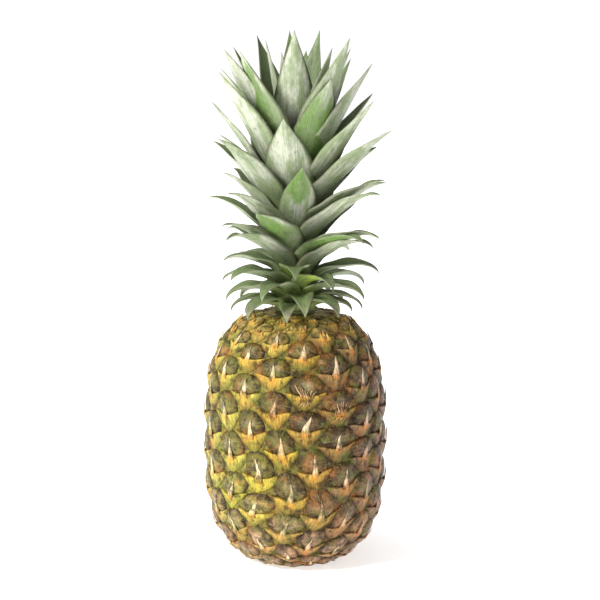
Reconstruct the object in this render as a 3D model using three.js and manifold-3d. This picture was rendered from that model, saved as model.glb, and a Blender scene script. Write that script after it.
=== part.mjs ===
// A fresh pineapple that stands on the flat of its own base: the fruit with its raised eyes,
// the leafy crown on top of it, and the woody end of the stalk where it was cut from the plant.
// Millimetres, +Z up. The origin is the middle of the flat that it stands on, and the front faces -Y.

import * as THREE from "three";
import { mergeVertices } from "three/addons/utils/BufferGeometryUtils.js";
import Module from "manifold-3d";

const wasm = await Module();
wasm.setup();

// Driving dimensions of the fruit. The grooves between its eyes lie on a barrel, and the eyes stand out.
const GROOVE_RADIUS = 59.5;
const WAIST_HEIGHT = 84.2;
const REACH_BELOW = 85.9; // from the waist to the lower pole, which the flat of the base cuts off
const REACH_ABOVE = 88.2; // from the waist to the upper pole, under the crown
const FULLNESS = 3.03; // 2 is a round barrel, more has squarer shoulders
const EYE_RELIEF = 1; // height of an eye against the one drawn below
const CROWN_SEAT = 171.5; // height where the crown grows from the fruit
const CLEARANCE = 0.3; // gap between pieces that meet

// The eyes follow one spiral. Each one is turned on from the one below it, and stands a little higher.
const EYE_TURN = 132.54; // degrees
const EYE_RISE = 1.39; // at full width; the eyes are smaller near the poles
const EYE_TAPER = 0.9; // how fast the rise shrinks with the radius
const EYE_AZIMUTH = -12.5; // of eye 0, in degrees to the right of the front
const EYE_LIFT = 39; // eyes between the waist and eye 0
const STEEP_STEP = 11; // the neighbour up and to the right is this many eyes on
const SHALLOW_STEP = 8; // and the one up and to the left is this many on
const UPRIGHT_STEP = STEEP_STEP + SHALLOW_STEP;
const LEAST_EYE_RADIUS = 21; // eyes nearer the axis than this are left out, under the crown and the base

// Eyes that grew off the spiral, millimetres to the right and up. What is near them moves with them.
const SHIFTED = {
  33: [2, 1], 22: [4, 2], 19: [-2, -2], 14: [6, -1], 11: [0, -1], 8: [-5, 1], 3: [5, -4], 0: [-2, 1],
  "-3": [-7, 2], "-5": [6, -4], "-8": [0, -1], "-11": [-6, 4], "-16": [4, -2], "-19": [-4, 4], "-22": [0, 3],
  "-24": [5, -3], "-27": [-5, 3], "-30": [0, 4], "-35": [-2, 1], "-38": [1, 3], "-41": [4, 2], "-43": [0, 5],
  "-46": [2, 0], "-49": [7, 0], "-54": [4, 1], "-57": [8, -5], "-65": [8, -8], "-68": [-6, 3], "-76": [-4, -1],
  "-84": [-7, -5],
};
const SHIFT_REACH = 11; // how far the pull of such an eye reaches
const SHIFT_FIRMNESS = 0.3; // how much of the rule stays against it

// The cut end of the stalk, sunk in the middle of the base.
const STALK_RADIUS = 13;
const STALK_DEPTH = 10;

// The crown's leaves follow a spiral too, at the golden angle, from the lowest bract to the innermost leaf.
const FIRST_LEAF = -10;
const LAST_LEAF = 75;
const LEAF_TURN = 137.508; // degrees
const LEAF_AZIMUTH = 96; // of leaf 0, in degrees to the right of the front
const LEAF_THICKNESS = 2.2; // at the middle of a leaf's root
const TIP_THICKNESS = 0.9; // at the middle, near its tip
const LEAF_CHANNEL = 0.34; // how far the edges rise over the middle, as a share of the half width
const LEAF_STATIONS = [0, 0.18, 0.36, 0.54, 0.7, 0.86, 1]; // shares of the length where it is bent
const LEAF_CLEARANCE = 2.4; // between a drooping leaf and the fruit's outside
const STEM_PROFILE = [[15, 0], [16, 12], [19, 30], [18, 44], [15, 64], [12, 82], [7, 92]]; // radius, height over the seat
const STEM_TOP = 95; // over the seat

// How the leaves change with age: 0 is leaf 0, 1 is the innermost, and the bracts are under 0.
const ROOT_RADIUS = [[0.75, 9], [1, 4]]; // roots start inside the stem
const ROOT_HEIGHT = [[-0.16, 173], [0, 177], [0.2, 191], [0.4, 212], [0.6, 234], [0.8, 252], [1, 262]];
// Lean is in degrees from upright, and curl is what the tip adds to it.
const LEAN = [[-0.16, 78], [0, 84], [0.2, 68], [0.4, 50], [0.6, 39], [0.8, 28], [0.92, 17], [1, 6]];
const CURL = [[-0.16, 60], [0, 45], [0.2, 26], [0.4, 10], [0.6, 2], [1, -3]];
const LENGTH = [[-0.16, 26], [0, 42], [0.2, 56], [0.4, 66], [0.6, 80], [0.8, 96], [0.9, 103], [1, 100]];
const WIDTH = [[-0.16, 9], [0, 14], [0.2, 20], [0.4, 26], [0.6, 30], [0.8, 31], [1, 22]];

// Leaves that grew a little off the rule: degrees of turn, degrees of lean, and millimetres of length.
const GROWN = {
  17: [0, 0, -10], 18: [0, -6, 12], 20: [-10, -6, 10], 23: [26, 4, 4], 25: [0, -4, -6], 26: [-10, 12, 0],
  28: [0, 6, 8], 31: [14, 2, 12], 36: [0, -13, -6], 38: [0, -4, -12], 39: [0, 12, 0], 41: [-24, -2, 12],
  44: [32, 6, 16], 47: [0, 8, -14], 49: [-4, -12, -10], 52: [0, 6, 8], 54: [-12, 0, 18], 57: [24, -4, -4],
  60: [0, 2, 6], 62: [-26, -2, 6], 65: [10, 4, 12], 67: [0, 12, 6], 68: [0, 2, -4], 70: [-2, 0, 6],
  73: [0, 8, -6], 75: [0, 4, -12],
};

const radians = THREE.MathUtils.degToRad;
const degrees = THREE.MathUtils.radToDeg;

// A draw between -1 and 1 that is always the same for the same two numbers.
function draw(index, channel) {
  const wave = Math.sin(index * 127.1 + channel * 311.7) * 43758.5453;
  return 2 * (wave - Math.floor(wave)) - 1;
}

// The value at x on a line through the points of a table.
function along(table, x) {
  const next = table.findIndex(([at]) => at >= x);
  if (next <= 0) return table.at(next)[1];
  const [x0, y0] = table[next - 1];
  const [x1, y1] = table[next];
  return y0 + ((y1 - y0) * (x - x0)) / (x1 - x0);
}

// Closed triangles to a solid that can be joined and cut.
function solid(positions, faces) {
  const geometry = new THREE.BufferGeometry();
  geometry.setAttribute("position", new THREE.Float32BufferAttribute(positions.flat(), 3));
  geometry.setIndex(faces.flat());
  return solidOf(geometry);
}

function solidOf(geometry) {
  const bare = geometry.clone();
  bare.deleteAttribute("normal");
  bare.deleteAttribute("uv");
  const merged = mergeVertices(bare, 1e-4);
  const mesh = new wasm.Mesh({
    numProp: 3,
    vertProperties: merged.attributes.position.array,
    triVerts: new Uint32Array(merged.index.array),
  });
  return new wasm.Manifold(mesh);
}

// The largest body of a solid, without loose scraps and sealed hollows, as a three.js geometry.
function geometryOf(whole) {
  const bodies = whole.decompose().sort((a, b) => b.volume() - a.volume());
  const mesh = bodies[0].simplify(0.002).getMesh();
  const geometry = new THREE.BufferGeometry();
  geometry.setAttribute("position", new THREE.BufferAttribute(mesh.vertProperties, 3));
  geometry.setIndex(new THREE.BufferAttribute(mesh.triVerts, 1));
  geometry.computeVertexNormals();
  return geometry;
}

function cylinder(radius, height, centre, sides = 48) {
  const geometry = new THREE.CylinderGeometry(radius, radius, height, sides);
  geometry.rotateX(Math.PI / 2);
  geometry.translate(0, 0, centre);
  return solidOf(geometry);
}

// The barrel's meridian from the lower pole to the upper one: radius, height, and the number of eyes passed.
function meridian() {
  const steps = 2000;
  const power = 2 / FULLNESS;
  const points = [];
  let eyes = 0;
  for (let step = 0; step <= steps; step++) {
    const angle = Math.PI * (step / steps - 0.5);
    const reach = angle < 0 ? -REACH_BELOW : REACH_ABOVE;
    const radius = GROOVE_RADIUS * Math.abs(Math.cos(angle)) ** power;
    const height = WAIST_HEIGHT + reach * Math.abs(Math.sin(angle)) ** power;
    const last = points[points.length - 1];
    if (last) {
      const girth = Math.max((radius + last.radius) / 2 / GROOVE_RADIUS, 1e-3);
      eyes += Math.hypot(radius - last.radius, height - last.height) / (EYE_RISE * girth ** EYE_TAPER);
    }
    points.push({ radius, height, eyes });
  }
  const waist = points[steps / 2].eyes;
  for (const point of points) point.eyes -= waist + EYE_LIFT;
  return points;
}

const MERIDIAN = meridian();

// Eyes passed and azimuth, moved with the eyes near them that grew off the spiral.
function shifted(eyes, azimuth) {
  let firmness = SHIFT_FIRMNESS;
  let right = 0;
  let up = 0;
  for (const [eye, [eyeRight, eyeUp]] of Object.entries(SHIFTED)) {
    const turn = THREE.MathUtils.euclideanModulo(azimuth - EYE_AZIMUTH - eye * EYE_TURN + 180, 360) - 180;
    const distance = Math.hypot(radians(turn) * GROOVE_RADIUS, (eyes - eye) * EYE_RISE);
    const near = Math.exp(-((distance / SHIFT_REACH) ** 2) / 2);
    firmness += near;
    right += near * eyeRight;
    up += near * eyeUp;
  }
  return [eyes + up / firmness / EYE_RISE, azimuth + degrees(right / firmness / GROOVE_RADIUS)];
}

// A place on the barrel: eyes passed, degrees to the right of the front, and height over the groove.
function onFruit(eyesOnRule, azimuthOnRule, rise) {
  const [eyes, azimuth] = shifted(eyesOnRule, azimuthOnRule);
  let low = 0;
  let high = MERIDIAN.length - 1;
  while (high - low > 1) {
    const middle = (low + high) >> 1;
    if (MERIDIAN[middle].eyes < eyes) low = middle;
    else high = middle;
  }
  const a = MERIDIAN[low];
  const b = MERIDIAN[high];
  const share = THREE.MathUtils.clamp((eyes - a.eyes) / (b.eyes - a.eyes), 0, 1);
  const length = Math.hypot(b.radius - a.radius, b.height - a.height);
  const raised = rise * EYE_RELIEF * (THREE.MathUtils.lerp(a.radius, b.radius, share) / GROOVE_RADIUS) ** 0.7;
  const outwards = (raised * (b.height - a.height)) / length;
  const upwards = (-raised * (b.radius - a.radius)) / length;
  const radius = THREE.MathUtils.lerp(a.radius, b.radius, share) + outwards;
  const turn = radians(azimuth - 90);
  return [
    radius * Math.cos(turn),
    radius * Math.sin(turn),
    THREE.MathUtils.lerp(a.height, b.height, share) + upwards,
  ];
}

// One eye seen from outside at full width: millimetres to the right, up, and out of the groove.
// The bract is the apron p q r under the ridge s t u v w, with a free tip z over the dome e f g h.
const EYE_POINTS = {
  p: [0, -8.5, 2.0], q: [-6.5, -6, 1.6], r: [6.5, -5.5, 1.6],
  s: [-10.8, -0.4, 1.1], t: [-5.5, -1, 2.8], u: [0, -1.2, 3.5], v: [5.5, -0.6, 2.8], w: [11, 1.2, 1.1],
  x: [-2.6, 1.2, 3.2], y: [2.6, 1.4, 3.2], z: [0.3, 11.5, 4.1],
  a: [-8, 2.2, 0.9], b: [8, 3, 0.9], c: [-3.4, 2.6, 1.7], d: [3.4, 2.8, 1.7],
  e: [-4.8, 7.2, 2.3], f: [5.4, 7.6, 2.3], g: [-4, 11.3, 1.6], h: [3.6, 12, 1.4],
};
// Its triangles, turned the same way. A to F are the corners, in the grooves, which three eyes share.
const EYE_FACES = [
  "CDq Dpq DEp Erp EFr Cqs qts qpt put pvu prv rwv rFw", // apron
  "tux uyx uvy xyz", // ridge and tip
  "sta txc tca vwb vbd vdy", // behind the ridge
  "xzg xge xec ydf yfh yhz", // sides of the tip
  "Csa ace CaB aeB egB gzA gAB zhA FAh Fhf Ffb Fbw bfd", // dome
].join(" ").split(" ");

// The corners of an eye, by the two kinds of place where three eyes meet, and the eye that each belongs to.
const EYE_CORNERS = {
  A: ["upper", 0], B: ["lower", 0], C: ["upper", -STEEP_STEP],
  D: ["lower", -UPRIGHT_STEP], E: ["upper", -UPRIGHT_STEP], F: ["lower", -SHALLOW_STEP],
};

// The turn from an eye to another, as an angle from -180 to 180.
function turnTo(steps) {
  const turn = (steps * EYE_TURN) % 360;
  return turn > 180 ? turn - 360 : turn;
}

// A corner is the middle of an eye, the one above it, and one of the two beside them.
function cornerPlace(kind, eye) {
  const beside = kind === "upper" ? STEEP_STEP : SHALLOW_STEP;
  const eyes = eye + (beside + UPRIGHT_STEP) / 3;
  const azimuth = EYE_AZIMUTH + eye * EYE_TURN + (turnTo(beside) + turnTo(UPRIGHT_STEP)) / 3;
  return onFruit(eyes, azimuth, 0);
}

function eyePlace(name, eye) {
  const [right, up, out] = EYE_POINTS[name];
  const loose = name === "z" ? 1 : 0.2; // only the tip of a bract is free to lean
  const x = right + 1.3 * loose * draw(eye, 1);
  const y = up + 1.2 * loose * draw(eye, 2);
  const azimuth = EYE_AZIMUTH + eye * EYE_TURN + degrees(x / GROOVE_RADIUS);
  return onFruit(eye + y / EYE_RISE, azimuth, out * (1 + 0.12 * draw(eye, 3)));
}

// The skin of eyes, closed at both poles by a fan.
function fruitSkin() {
  const positions = [];
  const faces = [];
  const known = new Map();
  const vertex = (key, place) => {
    if (!known.has(key)) {
      known.set(key, positions.length);
      positions.push(place());
    }
    return known.get(key);
  };
  const wide = MERIDIAN.filter((point) => point.radius > LEAST_EYE_RADIUS);
  const first = Math.ceil(wide[0].eyes);
  const last = Math.floor(wide[wide.length - 1].eyes);
  for (let eye = first; eye <= last; eye++) {
    for (const face of EYE_FACES) {
      faces.push([...face].map((name) => {
        if (!EYE_CORNERS[name]) return vertex(eye + name, () => eyePlace(name, eye));
        const [kind, offset] = EYE_CORNERS[name];
        return vertex(kind + (eye + offset), () => cornerPlace(kind, eye + offset));
      }));
    }
  }
  const open = new Map();
  for (const face of faces) {
    face.forEach((from, at) => open.set(from + " " + face[(at + 1) % 3], [from, face[(at + 1) % 3]]));
  }
  const pole = { low: MERIDIAN[0].height, high: MERIDIAN[MERIDIAN.length - 1].height };
  const lowPole = positions.push([0, 0, pole.low]) - 1;
  const highPole = positions.push([0, 0, pole.high]) - 1;
  for (const [from, to] of open.values()) {
    if (open.has(to + " " + from)) continue;
    faces.push([to, from, positions[from][2] < WAIST_HEIGHT ? lowPole : highPole]);
  }
  return solid(positions, faces);
}

// The fruit, flat where it stands and under the crown, with the hole that the stalk's end fills.
function fruit() {
  const slab = cylinder(2 * GROOVE_RADIUS, CROWN_SEAT, CROWN_SEAT / 2);
  const hole = cylinder(STALK_RADIUS + CLEARANCE, 2 * (STALK_DEPTH + CLEARANCE), 0);
  return geometryOf(fruitSkin().intersect(slab).subtract(hole));
}

// The height that a drooping leaf keeps over the fruit, at a distance from the axis.
function heightOverFruit(radius) {
  const outside = GROOVE_RADIUS + 3.4;
  const share = Math.min(radius / outside, 0.999);
  return WAIST_HEIGHT + (REACH_ABOVE + 2.8) * (1 - share ** FULLNESS) ** (1 / FULLNESS) + LEAF_CLEARANCE;
}

function leafRule(index) {
  const age = index / LAST_LEAF;
  const [turn, lean, length] = GROWN[index] ?? [3 * draw(index, 4), 3 * draw(index, 5), 4 * draw(index, 6)];
  return {
    azimuth: LEAF_AZIMUTH + index * LEAF_TURN + turn,
    radius: along(ROOT_RADIUS, age),
    height: along(ROOT_HEIGHT, age),
    lean: along(LEAN, age) + lean,
    curl: along(CURL, age),
    length: along(LENGTH, age) + length,
    width: along(WIDTH, age),
  };
}

// Half of a leaf's width at a share of its length: widest before the middle, narrow where it is rooted.
function halfWidth(share, width) {
  const left = 1 - share;
  const point = Math.sin((Math.PI / 2) * Math.min(left / 0.6, 1)) ** 1.1;
  const root = 1 - 0.7 * Math.max((left - 0.6) / 0.4, 0) ** 2;
  return (width / 2) * point * root;
}

// The middle line of a leaf: distance from the axis, height, and degrees from upright, at each station.
function leafLine(rule) {
  const steps = 100;
  const places = [];
  let { radius, height } = rule;
  for (let step = 0; step <= steps; step++) {
    const share = step / steps;
    const unbend = 0.55 + 0.45 * Math.min(share / 0.35, 1);
    const angle = radians(rule.lean * unbend + rule.curl * share ** 2);
    if (step > 0) {
      radius += (Math.sin(angle) * rule.length) / steps;
      height = Math.max(height + (Math.cos(angle) * rule.length) / steps, heightOverFruit(radius));
    }
    places.push({ share, radius, height, angle });
  }
  return LEAF_STATIONS.map((share) => places[Math.round(share * steps)]);
}

// A leaf is a channel, hollow towards the axis. A ring of it is an edge, the outer middle, an edge and
// the inner middle.
function leaf(index) {
  const rule = leafRule(index);
  const turn = radians(rule.azimuth - 90);
  const outwards = [Math.cos(turn), Math.sin(turn)];
  const positions = [];
  const place = (radius, height, aside) => positions.push([
    radius * outwards[0] - aside * outwards[1],
    radius * outwards[1] + aside * outwards[0],
    height,
  ]);
  const line = leafLine(rule);
  for (const { share, radius, height, angle } of line.slice(0, -1)) {
    const half = halfWidth(share, rule.width);
    const thick = Math.min(THREE.MathUtils.lerp(LEAF_THICKNESS, TIP_THICKNESS, share), 0.4 * half);
    const inwards = [-Math.cos(angle), Math.sin(angle)];
    const raised = LEAF_CHANNEL * half;
    place(radius + raised * inwards[0], height + raised * inwards[1], half);
    place(radius - (thick / 2) * inwards[0], height - (thick / 2) * inwards[1], 0);
    place(radius + raised * inwards[0], height + raised * inwards[1], -half);
    place(radius + (thick / 2) * inwards[0], height + (thick / 2) * inwards[1], 0);
  }
  const end = line[line.length - 1];
  place(end.radius, end.height, 0);
  return solid(positions, leafFaces(line.length - 1));
}

function leafFaces(rings) {
  const tip = 4 * rings;
  const faces = [[0, 1, 3], [1, 2, 3]];
  for (let ring = 0; ring < rings - 1; ring++) {
    const at = (corner) => 4 * ring + corner;
    const on = (corner) => 4 * (ring + 1) + corner;
    faces.push([at(0), on(1), at(1)], [at(0), on(0), on(1)]); // outer face, left half
    faces.push([at(1), on(1), at(2)], [at(2), on(1), on(2)]); // outer face, right half
    faces.push([at(0), at(3), on(3)], [at(0), on(3), on(0)]); // inner face, left half
    faces.push([at(3), at(2), on(3)], [at(2), on(2), on(3)]); // inner face, right half
  }
  const last = 4 * (rings - 1);
  for (let corner = 0; corner < 4; corner++) {
    faces.push([last + ((corner + 1) % 4), last + corner, tip]);
  }
  return faces;
}

// The stem that the leaves grow from, out of sight between them.
function stem() {
  const seat = CROWN_SEAT + CLEARANCE;
  const profile = STEM_PROFILE.map(([radius, height]) => new THREE.Vector2(radius, seat + height));
  profile.unshift(new THREE.Vector2(0, seat));
  profile.push(new THREE.Vector2(0, seat + STEM_TOP));
  const geometry = new THREE.LatheGeometry(profile, 20);
  geometry.rotateX(Math.PI / 2);
  return solidOf(geometry);
}

function crown() {
  const leaves = [];
  for (let index = FIRST_LEAF; index <= LAST_LEAF; index++) leaves.push(leaf(index));
  return geometryOf(wasm.Manifold.union([stem(), ...leaves]));
}

// The stalk's end: a short plug, level with the base.
function cutStalk() {
  const geometry = new THREE.CylinderGeometry(STALK_RADIUS, STALK_RADIUS, STALK_DEPTH, 32);
  geometry.rotateX(Math.PI / 2);
  geometry.translate(0, 0, STALK_DEPTH / 2);
  return geometry;
}

function piece(name, geometry, color, roughness) {
  const material = new THREE.MeshStandardMaterial({ color, roughness, metalness: 0 });
  const mesh = new THREE.Mesh(geometry, material);
  mesh.name = name;
  return mesh;
}

const pineapple = new THREE.Group();
pineapple.add(piece("fruit", fruit(), 0xa8873f, 0.5));
pineapple.add(piece("crown", crown(), 0x8fa678, 0.6));
pineapple.add(piece("cut_stalk", cutStalk(), 0xc9b183, 0.85));

export default pineapple;
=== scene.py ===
"""A fresh pineapple that stands in front of white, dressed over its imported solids.

The scene is in metres with +Z up, and the front faces -Y. The fruit's pattern and the leaves are laid out
in millimetres, as they grow, and turn into metres where a mesh is built.
"""

import math

import bpy
import numpy as np
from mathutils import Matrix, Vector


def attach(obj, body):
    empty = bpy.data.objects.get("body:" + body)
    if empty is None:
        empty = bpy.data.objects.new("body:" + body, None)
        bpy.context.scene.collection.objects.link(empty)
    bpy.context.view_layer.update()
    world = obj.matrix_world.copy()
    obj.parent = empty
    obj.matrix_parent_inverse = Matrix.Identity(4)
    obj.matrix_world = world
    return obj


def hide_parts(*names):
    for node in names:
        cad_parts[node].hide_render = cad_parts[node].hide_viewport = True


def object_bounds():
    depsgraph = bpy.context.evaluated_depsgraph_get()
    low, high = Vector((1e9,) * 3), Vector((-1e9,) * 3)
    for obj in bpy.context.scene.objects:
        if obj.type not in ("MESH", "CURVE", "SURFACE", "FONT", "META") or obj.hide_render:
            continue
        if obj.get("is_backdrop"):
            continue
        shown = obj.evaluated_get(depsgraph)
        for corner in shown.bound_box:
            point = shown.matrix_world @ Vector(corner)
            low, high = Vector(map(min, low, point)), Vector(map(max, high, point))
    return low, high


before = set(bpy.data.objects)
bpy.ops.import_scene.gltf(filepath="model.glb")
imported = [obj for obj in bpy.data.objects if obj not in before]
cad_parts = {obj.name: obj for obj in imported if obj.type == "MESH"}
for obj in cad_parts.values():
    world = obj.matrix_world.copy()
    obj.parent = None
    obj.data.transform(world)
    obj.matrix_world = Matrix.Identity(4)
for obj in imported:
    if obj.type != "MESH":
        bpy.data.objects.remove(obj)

MM = 0.001

# Driving dimensions of the fruit, the same as the solids have. The grooves between its eyes lie on a barrel.
GROOVE_RADIUS = 59.5
WAIST_HEIGHT = 84.2
REACH_BELOW = 85.9
REACH_ABOVE = 88.2
FULLNESS = 3.03
CROWN_SEAT = 171.5
CLEARANCE = 0.3
STALK_RADIUS = 13
STALK_DEPTH = 10
STALK_SIDES = 64
MERIDIAN_POINTS = 2001
NEAR_AXIS = 0.01  # where a profile stops short of the axis

# The eyes follow one spiral, each one turned on from the one below it, and a little higher.
EYE_TURN = 132.54
EYE_RISE = 1.39
EYE_TAPER = 0.9
EYE_AZIMUTH = -12.5
EYE_LIFT = 39
LEAST_EYE_RADIUS = 21
RELIEF_TAPER = 0.7

# Eyes that grew off the spiral, millimetres to the right and up. What is near them moves with them.
SHIFTED = {
    33: (2, 1), 22: (4, 2), 19: (-2, -2), 14: (6, -1), 11: (0, -1), 8: (-5, 1), 3: (5, -4), 0: (-2, 1),
    -3: (-7, 2), -5: (6, -4), -8: (0, -1), -11: (-6, 4), -16: (4, -2), -19: (-4, 4), -22: (0, 3),
    -24: (5, -3), -27: (-5, 3), -30: (0, 4), -35: (-2, 1), -38: (1, 3), -41: (4, 2), -43: (0, 5),
    -46: (2, 0), -49: (7, 0), -54: (4, 1), -57: (8, -5), -65: (8, -8), -68: (-6, 3), -76: (-4, -1),
    -84: (-7, -5),
}
SHIFT_REACH = 11
SHIFT_FIRMNESS = 0.3

# The azimuth halfway from the green side to the brown one, and the heights that count as low and as top.
BROWNING_AZIMUTH = 8
LOW_HEIGHTS = (78, 14)
TOP_HEIGHTS = (146, 166)

# The dome of an eye: its middle in the eye's own pattern, its half width and half length, and its height.
DOME_CENTRE = (0.2, 6.4)
DOME_REACH = (11.1, 8.8)
DOME_HEIGHT = 3.1
DOME_SPOKES = 32
DOME_RINGS = [0.22, 0.42, 0.6, 0.75, 0.87, 0.95, 1]
DOME_SKIRT = 1.05  # the ring that goes under the groove
DOME_SQUARENESS = 2.3  # 2 is round, more has squarer corners
DOME_FLATNESS = 2.4
SUNK = 0.6  # how far the rim of a patch goes under the groove
FLOOR_RISE = 0.3  # of the skin between the domes
BARREL_SIDES = 96
BARREL_STEP = 16  # points of the meridian to one ring of the barrel

# Least heights over the base, apart from one another where the base cuts the lowest eyes.
DOME_FLOOR = 0.05
PAD_FLOOR = 0.1
TONGUE_FLOOR = 0.15
TONGUE_INNER_FLOOR = 0.45

# The bract of an eye: a star-shaped pad with two arms under a ridge, and a tongue that lies over the dome.
PAD_COLUMNS = 29
PAD_CLIMB = [0, 0.07, 0.18, 0.34, 0.52, 0.7, 0.87, 1]
ARM_REACH = (13.5, 13.1)
ARM_RISE = (0.6, 1.9)
ARM_END = 0.4
RIDGE_Y = -1.4
FOOT_Y = -12.2
FOOT_TAPER = 1.3  # 1 is a straight-sided wedge, more is fuller
FOOT_HEIGHT = 0.7
RIDGE_HEIGHT = 3.4
ARM_HEIGHT = 1.7
BEHIND_RIDGE = [(0.4, 0.8), (0.75, 2.1), (0.95, 4.4)]  # how far behind the ridge, and how far under it

# The tongue's section goes across in shares of its half width, and over its middle in millimetres.
TONGUE_ROOT_Y = -3.6
TONGUE_LENGTH = 14.4
TONGUE_WIDTH = 6.2
TONGUE_ROWS = 12
TONGUE_RING = [
    (-1, 0), (-0.55, 0.55), (0, 0.8), (0.55, 0.55), (1, 0), (0.5, -0.15), (0, -0.2), (-0.5, -0.15),
]
TORN_EYES = {-105, -16, -12, -8, 15, 38}  # their tongues are split into strands
TORN_WIDTH = 1.3  # of a strand over the dome
HANGING_WIDTH = 1.2  # of a strand that hangs down over the pad
CRUMPLED = 0.75  # eyes that are this near the crown, on a scale to 1, have crumpled bracts for a tongue

# The crown's leaves follow a spiral at the golden angle, from the lowest bract to the innermost leaf.
FIRST_LEAF = -10
LAST_LEAF = 75
LEAF_TURN = 137.508
LEAF_AZIMUTH = 96
LEAF_THICKNESS = 1.7
TIP_THICKNESS = 0.8
EDGE_THICKNESS = 0.2
LEAF_CHANNEL = 0.34
LEAF_CLEARANCE = 2.4
LEAF_TWIST = 9  # most degrees from root to tip, to either side
LINE_STEPS = 4  # steps of a leaf's middle line to one row
EYES_OUT = 3.4  # what the eyes add to the barrel under a drooping leaf, outwards
EYES_UP = 2.8  # and upwards
LEAF_ROWS = 40
LEAF_COLUMNS = 11
STEM_PROFILE = [(14, 0), (11, 5), (10, 30), (10, 64), (9, 82), (6, 92)]
STEM_TOP = 95

# How the leaves change with age: 0 is leaf 0, 1 is the innermost, and the bracts are under 0.
# HOOK is what the very tip adds to the curl. UNBENT is the share of the lean at the leaf's root.
ROOT_RADIUS = [(-0.1, 13), (0, 9), (0.75, 9), (1, 4)]
ROOT_HEIGHT = [(-0.16, 173), (0, 177), (0.2, 191), (0.4, 212), (0.6, 234), (0.8, 252), (1, 262)]
LEAN = [(-0.16, 78), (0, 84), (0.2, 68), (0.4, 50), (0.6, 39), (0.8, 28), (0.92, 17), (1, 6)]
CURL = [(-0.16, 60), (0, 45), (0.2, 26), (0.4, 10), (0.6, 2), (1, -3)]
LENGTH = [(-0.16, 26), (0, 42), (0.2, 56), (0.4, 66), (0.6, 80), (0.8, 96), (0.9, 103), (1, 100)]
WIDTH = [(-0.16, 12), (0, 17), (0.2, 22), (0.4, 27), (0.6, 31), (0.8, 32), (1, 23)]
HOOK = [(0, 70), (0.4, 50), (0.65, 5)]
UNBENT = [(-0.13, 0.95), (-0.03, 0.5), (0.2, 0.3), (0.5, 0.55)]

# Leaves that grew a little off the rule: degrees of turn, degrees of lean, and millimetres of length.
GROWN = {
    17: (0, 0, -10), 18: (0, -6, 12), 20: (-10, -6, 10), 23: (26, 4, 4), 25: (0, -4, -6), 26: (-10, 12, 0),
    28: (-7, 6, 8), 31: (14, 2, 12), 36: (0, -13, -6), 38: (0, -4, -12), 39: (0, 12, 0), 41: (-24, -2, 12),
    44: (32, 6, 16), 47: (0, 8, -14), 49: (-4, -12, -10), 52: (4, 6, 8), 54: (-12, 0, 18), 57: (20, -7, -2),
    60: (0, 2, 6), 62: (-26, -2, 6), 65: (10, 4, 12), 67: (0, 12, 6), 68: (0, 2, -4), 70: (-2, 0, 6),
    73: (0, 8, -6), 75: (0, 4, -12),
}

# Leaves that were fitted further, in millimetres: how much broader, and how much further out they stand.
# Their tips have no hook.
FITTED = {
    28: (0, 1), 36: (-3, 2), 49: (3, 5), 52: (-6, 0), 57: (4, 1), 62: (5, 5), 65: (4, 0), 70: (4, 2),
}

# Outer faces that lost their silvery bloom, from one share of the leaf's length to another.
RUBBED = {
    36: (0.55, 1), 57: (0, 0.8), 62: (0.1, 0.9), 28: (0.3, 1), 23: (0.2, 0.8), 15: (0, 0.6), 10: (0, 0.7),
}

# Colours of the skin from the side that is still green, over the front, to the side that dried brown.
PAD_COLOURS = [
    (0, (0.54, 0.47, 0.09)), (0.35, (0.62, 0.42, 0.05)), (0.6, (0.50, 0.30, 0.06)),
    (0.8, (0.29, 0.17, 0.08)), (1, (0.23, 0.145, 0.10)),
]
FOOT_COLOURS = [
    (0, (0.24, 0.22, 0.035)), (0.35, (0.17, 0.13, 0.016)), (0.6, (0.08, 0.045, 0.008)),
    (1, (0.05, 0.028, 0.018)),
]
DOME_COLOURS = [
    (0, (0.16, 0.13, 0.028)), (0.4, (0.095, 0.062, 0.009)), (0.7, (0.072, 0.038, 0.013)),
    (1, (0.13, 0.072, 0.052)),
]
TONGUE_COLOURS = [(0, (0.82, 0.69, 0.38)), (0.5, (0.84, 0.64, 0.38)), (1, (0.58, 0.36, 0.27))]
LOW_PAD = (0.60, 0.31, 0.15)
TOP_PAD = (0.80, 0.57, 0.14)
LIME_PAD = (0.50, 0.52, 0.03)
# Pinker domes near the base, made lighter as well: partly their own colour, partly a painted highlight.
LOW_DOME_PINK_AND_HIGHLIGHT = (0.42, 0.24, 0.15)
RIDGE_ORANGE = (0.72, 0.25, 0.03)
TORN_ORANGE = (0.66, 0.27, 0.10)
# Painted highlight: the pale middle of a dome.
PAINTED_DOME_HIGHLIGHT = (0.48, 0.40, 0.26)
# Painted shade: a near-black brown laid on dome rims, behind bract ridges, and at bract feet and arm ends,
# where shade falls in the grooves.
PAINTED_GROOVE_SHADE = (0.04, 0.022, 0.010)
BASE_COLOUR = (0.34, 0.22, 0.12)

# The middle of a spot that stayed lime green, in degrees and millimetres of height, and its reach.
LIME_PLACE = (-40, 52)
LIME_REACH = 22

# Colours of the leaves.
SILVER = (0.55, 0.58, 0.44)
BRIGHT_GREEN = (0.17, 0.31, 0.065)
YOUNG_YELLOW = (0.40, 0.52, 0.08)
INNER_GREEN = (0.13, 0.17, 0.075)
BASE_YELLOW = (0.30, 0.40, 0.07)
BASE_WHITE = (0.52, 0.58, 0.22)
DRY_LEAF = (0.27, 0.23, 0.16)
LEAF_EDGE = (0.13, 0.11, 0.05)
STEM_COLOUR = (0.10, 0.12, 0.05)

# Colours of the stalk's cut face.
WOOD = (0.58, 0.44, 0.25)
BARK = (0.30, 0.19, 0.09)
PORE = (0.16, 0.09, 0.04)

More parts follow.
